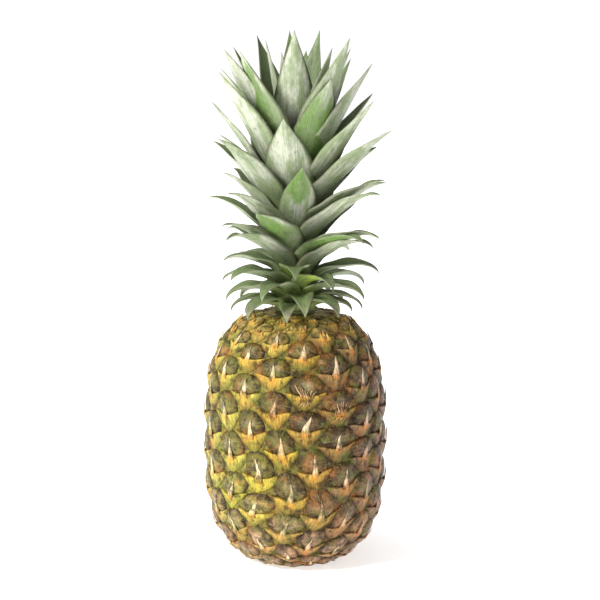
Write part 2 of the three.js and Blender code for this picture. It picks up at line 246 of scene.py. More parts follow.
# Colours of the skin's blotches, of a dome's rays, of a bract's specks, and of marks on the leaves.
WARM_BLOTCH = (0.48, 0.19, 0.045)
GREEN_BLOTCH = (0.15, 0.17, 0.028)
DARK_BLOTCH = (0.032, 0.018, 0.005)
PALE_RAY = (0.36, 0.31, 0.15)
DARK_RAY = (0.03, 0.018, 0.008)
SPECK = (0.10, 0.05, 0.02)
WORN_BLOOM = (0.22, 0.30, 0.12)
SCRATCH = (0.09, 0.11, 0.04)

# The stretch of a noise that has none, the roughness of all noises, and the gloss of the skin.
EVEN = (1, 1, 1)
NOISE_ROUGHNESS = 0.6
SKIN_SPECULAR = 0.22

# The photograph's light: a key light, a white surrounding, and a floor that glows more away from the object.
KEY_PLACE = (-1.15, -0.95, 1.15)
KEY_SIZE = 0.4
KEY_POWER = 32
WHITE_SEEN = 1.05
WHITE_LIGHT = 0.4
FLOOR_HALF_SIDE = 4
FLOOR_DROP = 0.2  # millimetres under the object, so that the two don't coincide
FLOOR_GREY = 0.9
GLOW_PLACES = (0.05, 0.2)
GLOW_STRENGTHS = (0.62, 1)

# The photograph's camera.
LENS = 109.8
SENSOR = 36
CAMERA_DISTANCE = 1.25
CAMERA_ELEVATION = math.radians(10)
AIM = (0.0034, 0, 0.180)


def draw(index, channel):
    """A draw between -1 and 1 that is always the same for the same two numbers."""
    wave = np.sin(index * 127.1 + channel * 311.7) * 43758.5453
    return 2 * (wave - np.floor(wave)) - 1


def along(table, x):
    """The value at x on a line through the points of a table, for numbers and for colours."""
    places = [place for place, _ in table]
    values = np.array([value for _, value in table], float)
    if values.ndim == 1:
        return np.interp(x, places, values)
    return np.stack([np.interp(x, places, channel) for channel in values.T], axis=-1)


def smooth(low, high, x):
    """0 under low, 1 over high, and a soft step between them."""
    share = np.clip((x - low) / (high - low), 0, 1)
    return share * share * (3 - 2 * share)


def mix(a, b, share):
    """Colours between a and b, where share is a number for each point."""
    share = np.asarray(share, float)[..., None]
    return np.asarray(a, float) * (1 - share) + np.asarray(b, float) * share


class Skin:
    """A mesh gathered patch by patch, with a colour and a grain place for each point."""

    def __init__(self):
        self.points = []
        self.tints = []
        self.grains = []
        self.faces = []
        self.count = 0

    def add(self, points, faces, tint, grain, kept=slice(None)):
        """Adds a patch from a grid of points, of which the faces count only those that are kept."""
        for gathered, values in ((self.points, points), (self.tints, tint), (self.grains, grain)):
            gathered.append(np.broadcast_to(values, points.shape).reshape(-1, 3)[kept])
        self.faces.extend([index + self.count for index in face] for face in faces)
        self.count += len(self.points[-1])

    def build(self, name, material):
        points = np.concatenate(self.points)
        mesh = bpy.data.meshes.new(name)
        mesh.from_pydata((points * MM).tolist(), [], self.faces)
        tint = mesh.attributes.new("tint", "FLOAT_COLOR", "POINT")
        opaque = np.concatenate([np.concatenate(self.tints), np.ones((self.count, 1))], axis=1)
        tint.data.foreach_set("color", opaque.ravel())
        grain = mesh.attributes.new("grain", "FLOAT_VECTOR", "POINT")
        grain.data.foreach_set("vector", np.concatenate(self.grains).ravel())
        mesh.polygons.foreach_set("use_smooth", [True] * len(mesh.polygons))
        mesh.materials.append(material)
        piece = bpy.data.objects.new(name, mesh)
        bpy.context.scene.collection.objects.link(piece)
        return piece


def grid_faces(rows, columns, closed):
    """Faces of rows of points: a row runs to the right, seen from outside, and the rows go up."""
    faces = []
    for row in range(rows - 1):
        for column in range(columns if closed else columns - 1):
            here = row * columns + column
            beside = row * columns + (column + 1) % columns
            faces.append((here, beside, beside + columns, here + columns))
    return faces


def spike_faces(rows, ring):
    """Faces of a closed blade whose last row is one point, and the points of its grid that they use."""
    faces = grid_faces(rows - 1, ring, closed=True)
    last = (rows - 2) * ring
    faces += [(last + at, last + (at + 1) % ring, last + ring) for at in range(ring)]
    faces.append(tuple(range(ring))[::-1])
    return faces, slice(last + ring + 1)


def turns(sides):
    """The angles of so many equal steps around the axis."""
    return np.linspace(0, 2 * math.pi, sides, endpoint=False)


def revolved(radius, height, turn):
    """Rings of places around the axis, from a radius and a height for each ring."""
    return np.stack([radius * np.cos(turn), radius * np.sin(turn), height + 0 * turn], axis=-1)


def meridian():
    """The barrel's meridian from the lower pole to the upper one: radius, height, eyes passed and normal."""
    angle = np.linspace(-math.pi / 2, math.pi / 2, MERIDIAN_POINTS)
    power = 2 / FULLNESS
    radius = GROOVE_RADIUS * np.abs(np.cos(angle)) ** power
    reach = np.where(angle < 0, -REACH_BELOW, REACH_ABOVE)
    height = WAIST_HEIGHT + reach * np.abs(np.sin(angle)) ** power
    girth = np.maximum((radius[1:] + radius[:-1]) / 2 / GROOVE_RADIUS, 1e-3)
    length = np.hypot(np.diff(radius), np.diff(height))
    eyes = np.concatenate([[0], np.cumsum(length / (EYE_RISE * girth**EYE_TAPER))])
    eyes -= eyes[len(eyes) // 2] + EYE_LIFT
    along_radius = np.gradient(radius)
    along_height = np.gradient(height)
    size = np.hypot(along_radius, along_height)
    return radius, height, eyes, along_height / size, -along_radius / size


MERIDIAN_RADIUS, MERIDIAN_HEIGHT, MERIDIAN_EYES, NORMAL_OUT, NORMAL_UP = meridian()


def shifted(eyes, azimuth):
    """Eyes passed and azimuth, moved with the eyes near them that grew off the spiral."""
    firmness = SHIFT_FIRMNESS
    right = 0
    up = 0
    for eye, (eye_right, eye_up) in SHIFTED.items():
        turn = (azimuth - EYE_AZIMUTH - eye * EYE_TURN + 180) % 360 - 180
        distance = np.hypot(np.radians(turn) * GROOVE_RADIUS, (eyes - eye) * EYE_RISE)
        near = np.exp(-((distance / SHIFT_REACH) ** 2) / 2)
        firmness = firmness + near
        right = right + near * eye_right
        up = up + near * eye_up
    return eyes + up / firmness / EYE_RISE, azimuth + np.degrees(right / firmness / GROOVE_RADIUS)


def on_fruit(eyes, azimuth, rise):
    """Places on the barrel: eyes passed, degrees to the right of the front, and height over the groove."""
    eyes, azimuth = shifted(eyes, azimuth)
    radius = np.interp(eyes, MERIDIAN_EYES, MERIDIAN_RADIUS)
    height = np.interp(eyes, MERIDIAN_EYES, MERIDIAN_HEIGHT)
    raised = rise * (radius / GROOVE_RADIUS) ** RELIEF_TAPER
    outside = radius + raised * np.interp(eyes, MERIDIAN_EYES, NORMAL_OUT)
    upwards = height + raised * np.interp(eyes, MERIDIAN_EYES, NORMAL_UP)
    turn = np.radians(azimuth - 90)
    return np.stack([outside * np.cos(turn), outside * np.sin(turn), upwards], axis=-1)


def eye_places(eye, x, y, rise, floor):
    """Places in an eye's own pattern, in millimetres at full width.

    They are kept over a floor at the base, and as far under the crown's seat.
    """
    azimuth = EYE_AZIMUTH + eye * EYE_TURN + np.degrees(x / GROOVE_RADIUS)
    places = on_fruit(eye + y / EYE_RISE, azimuth, rise)
    places[..., 2] = np.clip(places[..., 2], floor, CROWN_SEAT - floor)
    return places


def all_eyes():
    """The eyes of the fruit, without those at the poles."""
    wide = MERIDIAN_EYES[MERIDIAN_RADIUS > LEAST_EYE_RADIUS]
    return range(math.ceil(wide[0]), math.floor(wide[-1]) + 1)


def brownness(azimuth):
    """From 0 on the side that is still green to 1 on the side that dried brown."""
    return 0.5 + 0.5 * np.sin(np.radians(azimuth - BROWNING_AZIMUTH))


def eye_look(eye):
    """What colours an eye, each from 0 to 1.

    It is how brown its side is, and how near the eye is to the base, to the crown and to the lime spot.
    """
    height = np.interp(eye, MERIDIAN_EYES, MERIDIAN_HEIGHT)
    azimuth = (EYE_AZIMUTH + eye * EYE_TURN + 180) % 360 - 180
    browned = brownness(azimuth) + 0.08 * draw(eye, 21)
    from_lime = math.hypot(azimuth - LIME_PLACE[0], height - LIME_PLACE[1]) / LIME_REACH
    return {
        "browned": float(np.clip(browned, 0, 1)),
        "low": float(smooth(*LOW_HEIGHTS, height)),
        "top": float(smooth(*TOP_HEIGHTS, height)),
        "lime": math.exp(-(from_lime**2)),
    }


def dome(skin, eye, look):
    """The rounded top of an eye, with a wavy rim that dips under the groove."""
    spin = turns(DOME_SPOKES)
    share = np.array([0, *DOME_RINGS, DOME_SKIRT])[:, None]
    wavy = 1 + 0.035 * np.sin(2 * spin + 3 * draw(eye, 11)) + 0.025 * np.sin(3 * spin + 3 * draw(eye, 12))
    wavy *= 1 + 0.012 * np.sin(7 * spin + 3 * draw(eye, 13))
    power = DOME_SQUARENESS
    squarer = (np.abs(np.cos(spin)) ** power + np.abs(np.sin(spin)) ** power) ** (-1 / power)
    x = DOME_CENTRE[0] + DOME_REACH[0] * share * wavy * squarer * np.cos(spin)
    y = DOME_CENTRE[1] + DOME_REACH[1] * share * wavy * squarer * np.sin(spin)
    height = DOME_HEIGHT * (1 + 0.1 * draw(eye, 14))
    lobes = 1 + 0.05 * np.cos(3 * (spin - math.pi / 2)) * np.minimum(share, 1) ** 2
    rise = height * np.clip(1 - share**DOME_FLATNESS, 0, 1) ** 0.6 * lobes
    rise = np.where(share > 1, -SUNK, rise)
    places = eye_places(eye, x, y, rise, DOME_FLOOR)

    rays = np.stack([2 * np.cos(spin), 2 * np.sin(spin), 1.7 * eye + 0 * spin], axis=-1)
    grain = rays + 0.5 * share[..., None] * np.array([0, 0, 1])
    faces = [(0, 1 + spoke, 1 + (spoke + 1) % DOME_SPOKES) for spoke in range(DOME_SPOKES)]
    for ring in grid_faces(len(share) - 1, DOME_SPOKES, closed=True):
        faces.append(tuple(1 + index for index in reversed(ring)))
    only_one_middle = slice(DOME_SPOKES - 1, None)
    skin.add(places, faces, dome_tint(eye, look, share, spin), grain, only_one_middle)


def dome_tint(eye, look, share, spin):
    """A dome's colours: a painted highlight makes the middle pale, and painted shade darkens the rim."""
    # Near the base the domes turn pinker, and lighter as a painted highlight.
    base = mix(along(DOME_COLOURS, look["browned"]), LOW_DOME_PINK_AND_HIGHLIGHT, 0.62 * look["low"])
    base = mix(base, TOP_PAD, 0.45 * look["top"])
    base = mix(base, LIME_PAD, 0.35 * look["lime"])
    base = base * (1 + 0.18 * draw(eye, 15))
    around = np.ones_like(spin)
    # Painted highlight: the middle of the dome is paler.
    tint = mix(base, PAINTED_DOME_HIGHLIGHT, smooth(0.62, 0.1, share) * around * (0.28 + 0.12 * draw(eye, 16)))
    # Painted shade: the rim is darkened all round, in the shade of the groove and of the bracts above it.
    return mix(tint, PAINTED_GROOVE_SHADE, smooth(0.62, 0.97, share) * around * 0.9)


def barrel(skin):
    """The floor of the grooves, the base with the stalk's hole, and the flat under the crown."""
    inside = (MERIDIAN_HEIGHT > 0) & (MERIDIAN_HEIGHT < CROWN_SEAT)
    picked = np.flatnonzero(inside)[::BARREL_STEP]
    hole = STALK_RADIUS + CLEARANCE
    top_of_hole = STALK_DEPTH + CLEARANCE
    profile = [(NEAR_AXIS, top_of_hole), (hole, top_of_hole), (hole, 0)]
    profile += [(radius, 0) for radius in np.linspace(hole + 2, MERIDIAN_RADIUS[picked[0]] - 0.4, 5)]
    profile += [(MERIDIAN_RADIUS[at] + FLOOR_RISE, MERIDIAN_HEIGHT[at]) for at in picked]
    profile += [(MERIDIAN_RADIUS[picked[-1]], CROWN_SEAT), (NEAR_AXIS, CROWN_SEAT)]
    radius, height = np.array(profile).T[:, :, None]
    turn = turns(BARREL_SIDES)
    places = revolved(radius, height, turn)
    around = np.ones_like(turn)
    skin_tint = along(FOOT_COLOURS, brownness(np.degrees(turn) + 90))
    tint = mix(BASE_COLOUR, skin_tint, smooth(0, 12, height) * around)
    # Yellow like the bracts near the crown, and lighter than the shade under the crown allows: partly
    # painted light.
    tint = mix(tint, TOP_PAD, smooth(158, 168, height) * around * 0.85)
    skin.add(places, grid_faces(len(profile), BARREL_SIDES, closed=True), tint, places / 10)


def pad_lines(eye, across, bend):
    """Where a bract's foot and ridge run, and how high the ridge is, from one arm to the other."""
    side = np.abs(across)
    arm_y = np.where(across < 0, ARM_RISE[0] + 0.5 * draw(eye, 32), ARM_RISE[1] + 0.5 * draw(eye, 33))
    ridge_y = RIDGE_Y + (arm_y + ARM_END - RIDGE_Y) * side**1.2 + 0.2 * np.sin(9 * across + bend)
    foot_drop = arm_y - ARM_END - FOOT_Y + 0.5 * draw(eye, 34)
    wavy = 0.35 * np.sin(8 * across + 2 * bend) * (1 - side)
    foot_y = arm_y - ARM_END - foot_drop * (1 - side**FOOT_TAPER) ** 0.9 + wavy
    ridge_height = ARM_HEIGHT + (RIDGE_HEIGHT - ARM_HEIGHT) * (1 - side) ** 0.8
    ridge_height = ridge_height * (1 + 0.08 * draw(eye, 35) + 0.03 * np.sin(14 * across + bend))
    return foot_y, ridge_y, ridge_height


def pad(skin, eye, look):
    """The star-shaped body of a bract: a foot, a rising face, and a ridge that drops steeply behind."""
    across = np.linspace(-1, 1, PAD_COLUMNS)
    side = np.abs(across)
    bend = 3 * draw(eye, 31)
    foot_y, ridge_y, ridge_height = pad_lines(eye, across, bend)

    climb = np.array(PAD_CLIMB)[:, None]
    face_y = foot_y + (ridge_y - foot_y) * climb
    bulge = 0.5 * np.sin(math.pi * climb) * (1 - side) + 0.08 * np.sin(31 * across + bend) * climb
    face_rise = FOOT_HEIGHT + (ridge_height - FOOT_HEIGHT) * climb**1.1 + bulge
    behind_y = [ridge_y + back for back, _ in BEHIND_RIDGE]
    behind_rise = [np.maximum(ridge_height - drop, -SUNK) for _, drop in BEHIND_RIDGE]
    y = np.vstack([foot_y - 0.35, face_y, *behind_y])
    rise = np.vstack([np.full(PAD_COLUMNS, -SUNK), face_rise, *behind_rise])
    rise[:, [0, -1]] = -SUNK
    x = np.broadcast_to(np.where(across < 0, ARM_REACH[0] * across, ARM_REACH[1] * across), y.shape)
    places = eye_places(eye, x, y, rise, PAD_FLOOR)

    share = np.concatenate([[0], PAD_CLIMB, [1] * len(BEHIND_RIDGE)])[:, None] * np.ones(PAD_COLUMNS)
    tint = pad_tint(eye, look, x, y, share)
    behind = np.arange(len(y)) >= len(y) - len(BEHIND_RIDGE)
    # Painted shadow: the rows that drop behind the ridge are darkened, in the ridge's shade.
    tint = mix(tint, PAINTED_GROOVE_SHADE, 0.6 * behind[:, None] * np.ones(PAD_COLUMNS))
    grain = np.stack([x, y, np.full_like(y, 7.3 * eye)], axis=-1)
    skin.add(places, grid_faces(len(y), PAD_COLUMNS, closed=False), tint, grain)


def pad_colour(eye, look):
    """The colour of a bract near its ridge."""
    colour = along(PAD_COLOURS, look["browned"])
    colour = mix(colour, LOW_PAD, 0.7 * look["low"] * (1 - 0.5 * look["browned"]))
    colour = mix(colour, TOP_PAD, 0.6 * look["top"])
    colour = mix(colour, LIME_PAD, 0.6 * look["lime"])
    return colour * (1 + 0.15 * draw(eye, 22))


def pad_tint(eye, look, x, y, climb):
    """A bract's colours: bright at its ridge, like the grooves at its foot, and orange in the middle, with
    painted shade at its foot and arm ends.
    """
    foot = mix(along(FOOT_COLOURS, look["browned"]), LOW_PAD, 0.3 * look["low"])
    foot = mix(foot, LIME_PAD, 0.6 * look["lime"])
    spin = np.arctan2(x, 3 - y)
    rays = 0.5 + 0.5 * np.sin(11 * spin + 3 * draw(eye, 23))
    bright = np.clip(climb * (0.9 + 0.35 * rays) - 0.3 * (np.abs(x) / ARM_REACH[0]) ** 2, 0, 1)
    bright = bright ** (0.95 + 0.35 * draw(eye, 25))
    tint = mix(foot, pad_colour(eye, look), bright)
    orange = np.exp(-((x / (2.2 + 1.6 * rays)) ** 2) - ((y + 2.4) / 3.4) ** 2)
    strength = np.clip(0.38 + 0.4 * draw(eye, 24), 0.05, 0.85)
    tint = mix(tint, RIDGE_ORANGE, orange * strength)
    # Painted shade: the arm ends and the foot are darkened where they dip into the grooves, the foot more on
    # the brown side.
    painted_arm_shade = smooth(0.8, 1, np.abs(x) / ARM_REACH[1]) * 0.5
    painted_foot_shade = smooth(0.1, 0, climb) * (0.25 + 0.5 * look["browned"])
    return mix(tint, PAINTED_GROOVE_SHADE, np.minimum(painted_arm_shade + painted_foot_shade, 0.8))


def strand(skin, eye, look, root_x, width, length, lean, lift, pale):
    """A tongue, or one strand of a torn one: a thin keeled blade that starts in the pad and ends in a point.

    A length under 0 lies down over the pad.
    """
    share = np.linspace(0, 1, TONGUE_ROWS)[:, None]
    aside, over = np.array(TONGUE_RING).T
    aside = aside * np.sign(length)
    half = width / 2 * (1 - share) ** 1.15 + 0.12
    middle_x = root_x + (lean - root_x * 0.4) * share**1.5
    x = middle_x + aside * half + 0.25 * np.sin(9 * share + 3 * draw(eye, 41))
    y = TONGUE_ROOT_Y + length * share + 0 * aside
    middle = 2.3 + 1.0 * np.minimum(share / 0.16, 1) + lift * share**2 - 0.3 * np.sin(math.pi * share)
    rise = middle + over * np.minimum(half, 1)
    places = eye_places(eye, x, y, rise, np.where(over > 0, TONGUE_FLOOR, TONGUE_INNER_FLOOR))

    root = mix(pad_colour(eye, look), RIDGE_ORANGE, 0.55)
    tint = mix(root, pale, smooth(0.08, 0.42, share) * np.ones_like(aside))
    # Painted shade: the tongue darkens towards both edges, where its sides slope away from the light.
    tint = mix(tint, tint * 0.55, np.abs(aside) ** 3 * 0.6 + 0 * share)
    grain = np.stack([x, y, np.full_like(y, 7.3 * eye + root_x)], axis=-1)
    faces, kept = spike_faces(TONGUE_ROWS, len(TONGUE_RING))
    skin.add(places, faces, tint, grain, kept)


def crumpled_tongue(skin, eye, look):
    """Three short, broad, rolled bracts that stand every way."""
    for part in range(-1, 2):
        width = 6 + 1.5 * draw(eye, 114 + part)
        reach = 7 + 2.5 * draw(eye, 90 + part)
        spread = 3 * part + 4 * draw(eye, 96 + part)
        rolled = 1.5 + 1.5 * draw(eye, 102 + part)
        yellow = mix(TOP_PAD, TORN_ORANGE, 0.3 + 0.3 * draw(eye, 108 + part))
        strand(skin, eye, look, 3.2 * part, width, reach, spread, rolled, yellow)


def torn_tongue(skin, eye, look, length, lift, pale):
    """A fan of strands over the dome, and some that hang down over the pad."""
    for part in range(-3, 4):
        reach = length * (0.72 - 0.05 * abs(part) + 0.15 * draw(eye, 60 + part))
        spread = 1.7 * part + 1.2 * draw(eye, 66 + part)
        frayed = mix(pale, TORN_ORANGE, 0.6 + 0.3 * draw(eye, 72 + part))
        strand(skin, eye, look, 0.8 * part, TORN_WIDTH, reach, spread, 0.6 * lift, frayed)
        if abs(part) < 3:
            hanging = 5 + 1.3 * draw(eye, 78 + part)
            strand(skin, eye, look, 0.7 * part, HANGING_WIDTH, -hanging, 1.4 * spread, -1.2, frayed)


def tongue(skin, eye, look):
    """The free tip of a bract: crumpled near the crown, torn into strands on a few eyes, and else whole."""
    growth = 1 + 0.45 * look["top"] - 0.12 * look["low"]
    length = TONGUE_LENGTH * growth * (1 + 0.12 * draw(eye, 51))
    lift = 0.9 + 0.3 * draw(eye, 53) + 1.2 * look["top"]
    pale = along(TONGUE_COLOURS, look["browned"]) * (1 + 0.12 * draw(eye, 42))
    if look["top"] > CRUMPLED:
        crumpled_tongue(skin, eye, look)
    elif eye in TORN_EYES:
        torn_tongue(skin, eye, look, length, lift, pale)
    else:
        width = TONGUE_WIDTH * (1 + 0.15 * draw(eye, 55))
        strand(skin, eye, look, 0, width, length, 1.2 + 2 * draw(eye, 52), lift, pale)


def leaf_rule(index):
    """What a leaf's age and its own growth make of it."""
    age = index / LAST_LEAF
    off_rule = (3 * draw(index, 4), 3 * draw(index, 5), 4 * draw(index, 6))
    turn, lean, length = GROWN.get(index, off_rule)
    broader, outwards = FITTED.get(index, (0, 0))
    return {
        "index": index,
        "age": age,
        "azimuth": LEAF_AZIMUTH + index * LEAF_TURN + turn,
        "radius": along(ROOT_RADIUS, age) + outwards,
        "height": along(ROOT_HEIGHT, age),
        "lean": along(LEAN, age) + lean,
        "curl": along(CURL, age),
        "hook": 0 if index in FITTED else along(HOOK, age),
        "unbent": along(UNBENT, age),
        "length": along(LENGTH, age) + length,
        "width": along(WIDTH, age) + broader,
    }


def height_over_fruit(radius):
    """The height that a drooping leaf keeps over the fruit, at a distance from the axis."""
    share = min(radius / (GROOVE_RADIUS + EYES_OUT), 0.999)
    over_waist = (REACH_ABOVE + EYES_UP) * (1 - share**FULLNESS) ** (1 / FULLNESS)
    return WAIST_HEIGHT + over_waist + LEAF_CLEARANCE


def leaf_line(rule):
    """The middle line of a leaf: distance from the axis and height at each row, and its direction there."""
    steps = LINE_STEPS * (LEAF_ROWS - 1)
    radius, height = rule["radius"], rule["height"]
    line = [(radius, height)]
    for step in range(1, steps + 1):
        share = step / steps
        unbend = rule["unbent"] + (1 - rule["unbent"]) * min(share / 0.35, 1)
        angle = math.radians(rule["lean"] * unbend + rule["curl"] * share**2 + rule["hook"] * share**8)
        radius += math.sin(angle) * rule["length"] / steps
        height = max(height + math.cos(angle) * rule["length"] / steps, height_over_fruit(radius))
        line.append((radius, height))
    line = np.array(line)[::LINE_STEPS]
    ahead = np.gradient(line, axis=0)
    ahead /= np.linalg.norm(ahead, axis=1)[:, None]
    return line[:, 0], line[:, 1], ahead[:, 0], ahead[:, 1]


def half_width(share, width):
    """Half of a leaf's width: broad where it clasps the stem, widest before the middle, and pointed."""
    left = 1 - share
    point = np.sin(math.pi / 2 * np.minimum(left / 0.6, 1)) ** 1.1
    root = 1 - 0.12 * np.maximum((left - 0.6) / 0.4, 0) ** 2
    return width / 2 * point * root


def leaf_section(index, share, half):
    """A leaf's section at each row: places across, from -1 to 1, their face, and how far they are raised.

    The face is -1 outside, from left to right, and 1 inside, back again.
    """
    face = np.linspace(-1, 1, LEAF_COLUMNS)
    across = np.concatenate([face, face[-2:0:-1]])
    outer = np.concatenate([np.full(LEAF_COLUMNS, -1), np.full(LEAF_COLUMNS - 2, 1)])
    middle = LEAF_THICKNESS * (1 - share) + TIP_THICKNESS * share
    thick = middle * np.sqrt(1 - across**2 * 0.97) + EDGE_THICKNESS
    thick = np.minimum(thick, 0.5 * half)
    channel = LEAF_CHANNEL * (1 + 0.25 * draw(index, 7) + 0.45 * (1 - share) ** 3)
    wave = np.sin(15 * share + 3 * draw(index, 8) + 1.5 * np.sign(across))
    ripple = 0.05 * half * wave * across**2
    return across, outer, channel * half * np.abs(across) ** 1.8 + ripple + outer * thick / 2


def leaf(skin, index):
    """A blade with a crescent section, hollow towards the axis, that ends in a point."""
    rule = leaf_rule(index)
    radius, height, ahead_out, ahead_up = (part[:, None] for part in leaf_line(rule))
    share = np.linspace(0, 1, LEAF_ROWS)[:, None]
    half = half_width(share, rule["width"])
    across, outer, flat_raised = leaf_section(index, share, half)
    flat_aside = across * half
    twist = np.radians(LEAF_TWIST * draw(index, 9) * share)
    raised = flat_raised * np.cos(twist) + flat_aside * np.sin(twist)
    aside = flat_aside * np.cos(twist) - flat_raised * np.sin(twist)

    out = radius - ahead_up * raised
    up = height + ahead_out * raised
    turn = math.radians(rule["azimuth"] - 90)
    x = out * math.cos(turn) - aside * math.sin(turn)
    y = out * math.sin(turn) + aside * math.cos(turn)
    lengthwise = share * rule["length"] + 0 * across
    grain = np.stack([aside, lengthwise, np.full_like(aside, 9.7 * index) + outer], axis=-1)
    faces, kept = spike_faces(LEAF_ROWS, len(across))
    skin.add(np.stack([x, y, up], axis=-1), faces, leaf_tint(rule, share, across, outer), grain, kept)


def leaf_tint(rule, share, across, outer):
    """A leaf's colours.

    It is silvery outside, green inside and where it was rubbed, pale at its foot, and dark at its edges.
    Painted shade darkens the lower part of all but the lowest leaves.
    """
    ones = np.ones_like(across)
    start, end = RUBBED.get(rule["index"], (2, 3))
    edge = share + 0.06 * np.sin(5 * across + 2)
    rubbed = smooth(start - 0.05, start + 0.05, edge) * smooth(end + 0.05, end - 0.05, edge)
    rubbed = rubbed * smooth(1, 0.65, np.abs(across + 0.15))
    low = smooth(0.3, 0.1, rule["age"])
    outside = mix(SILVER, mix(BRIGHT_GREEN, YOUNG_YELLOW, low), rubbed)
    outside = mix(outside, BASE_YELLOW, smooth(0.35 + 0.3 * low, 0.1, share) * ones * (0.4 + 0.5 * low))
    tint = mix(INNER_GREEN, outside, (outer < 0) * (1 + 0 * share))
    # Painted shade: the lower part of all but the lowest leaves is darkened, where the leaves shade one
    # another.
    tint = tint * (1 - 0.55 * smooth(0.62, 0.2, share) * (1 - low))[..., None]
    clasping = smooth(0.3, 0, share) * smooth(0.35, 0.15, rule["age"]) * ones
    tint = mix(tint, BASE_WHITE, clasping * 0.5)
    dry = smooth(0.3, -0.1, rule["age"]) * smooth(0.45, 0.95, share) * ones
    tint = mix(tint, DRY_LEAF, dry * 0.8)
    tint = mix(tint, LEAF_EDGE, 0.75 * smooth(0.8, 1, np.abs(across)) * (1 + 0 * share))
    return tint * (1 + 0.1 * draw(rule["index"], 10))


def stem(skin):
    """The stem that the leaves grow from, out of sight between them."""
    profile = [(NEAR_AXIS, 0), *STEM_PROFILE, (NEAR_AXIS, STEM_TOP)]
    radius, height = np.array(profile).T[:, :, None]
    turn = turns(BARREL_SIDES // 2)
    places = revolved(radius, CROWN_SEAT + CLEARANCE + height, turn)
    skin.add(places, grid_faces(len(profile), len(turn), closed=True), STEM_COLOUR, places)


def new_material(name):
    """A new material, its tree of nodes, and its shader."""
    material = bpy.data.materials.new(name)
    material.use_nodes = True
    tree = material.node_tree
    return material, tree, tree.nodes["Principled BSDF"]


def attribute(tree, name, output):
    """What a mesh holds for each of its points."""
    node = tree.nodes.new("ShaderNodeAttribute")
    node.attribute_name = name
    return node.outputs[output]


def object_place(tree):
    """The place on the object itself, in metres."""
    return tree.nodes.new("ShaderNodeTexCoord").outputs["Object"]


def noise(tree, vector, stretch, scale, detail):
    """A noise over a stretched place: its factor output."""
    mapping = tree.nodes.new("ShaderNodeMapping")
    mapping.inputs["Scale"].default_value = stretch
    tree.links.new(vector, mapping.inputs["Vector"])
    node = tree.nodes.new("ShaderNodeTexNoise")
    node.inputs["Scale"].default_value = scale
    node.inputs["Detail"].default_value = detail
    node.inputs["Roughness"].default_value = NOISE_ROUGHNESS
    tree.links.new(mapping.outputs["Vector"], node.inputs["Vector"])
    return node.outputs["Fac"]


def remap(tree, value, low, high, out_low, out_high):
    """A number from a range, stretched over another range and kept inside it."""
    node = tree.nodes.new("ShaderNodeMapRange")
    node.inputs["From Min"].default_value = low
    node.inputs["From Max"].default_value = high
    node.inputs["To Min"].default_value = out_low
    node.inputs["To Max"].default_value = out_high
    tree.links.new(value, node.inputs["Value"])
    return node.outputs["Result"]


def scaled(tree, colour, factor):
    """A colour times a number."""
    node = tree.nodes.new("ShaderNodeVectorMath")
    node.operation = "SCALE"
    tree.links.new(colour, node.inputs[0])
    tree.links.new(factor, node.inputs["Scale"])
    return node.outputs["Vector"]


def mixed(tree, factor, colour, other):
    """A colour that changes to another, fixed one by a factor."""
    node = tree.nodes.new("ShaderNodeMix")
    node.data_type = "RGBA"
    tree.links.new(factor, node.inputs["Factor"])
    tree.links.new(colour, node.inputs["A"])
    node.inputs["B"].default_value = (*other, 1)
    return node.outputs["Result"]


def bump(tree, height, strength, distance, shader):
    """Fine relief on a shader, from a height and how far it reaches in metres."""
    node = tree.nodes.new("ShaderNodeBump")
    node.inputs["Strength"].default_value = strength
    node.inputs["Distance"].default_value = distance
    tree.links.new(height, node.inputs["Height"])
    tree.links.new(node.outputs["Normal"], shader.inputs["Normal"])


def weathered(tree, colour, place):
    """A colour with the blotches of the whole fruit's skin over it: some warmer, some green, some dark."""
    warm = noise(tree, place, EVEN, 75, 5)
    colour = mixed(tree, remap(tree, warm, 0.5, 0.64, 0, 0.5), colour, WARM_BLOTCH)
    green = noise(tree, place, (1, 1, 1.3), 110, 5)
    colour = mixed(tree, remap(tree, green, 0.5, 0.62, 0, 0.6), colour, GREEN_BLOTCH)
    dark = noise(tree, place, (1, 1, 0.8), 210, 6)
    return mixed(tree, remap(tree, dark, 0.5, 0.62, 0, 0.75), colour, DARK_BLOTCH)


def rind_material():
    """Waxy domes: radial flecks, mottling, and a fine pebbled gloss."""
    material, tree, shader = new_material("rind_wax")
    tint = attribute(tree, "tint", "Color")
    grain = attribute(tree, "grain", "Vector")
    streak = noise(tree, grain, EVEN, 3.4, 4)
    place = object_place(tree)
    mottle = noise(tree, place, EVEN, 230, 5)
    colour = scaled(tree, tint, remap(tree, mottle, 0.38, 0.62, 0.5, 1.7))
    colour = weathered(tree, colour, place)
    colour = mixed(tree, remap(tree, streak, 0.56, 0.72, 0, 0.6), colour, PALE_RAY)
    colour = mixed(tree, remap(tree, streak, 0.42, 0.3, 0, 0.6), colour, DARK_RAY)
    tree.links.new(colour, shader.inputs["Base Color"])
    shader.inputs["Specular IOR Level"].default_value = SKIN_SPECULAR
    tree.links.new(remap(tree, mottle, 0.3, 0.7, 0.2, 0.45), shader.inputs["Roughness"])
    bump(tree, noise(tree, place, EVEN, 420, 3), 0.8, 0.002, shader)
    return material


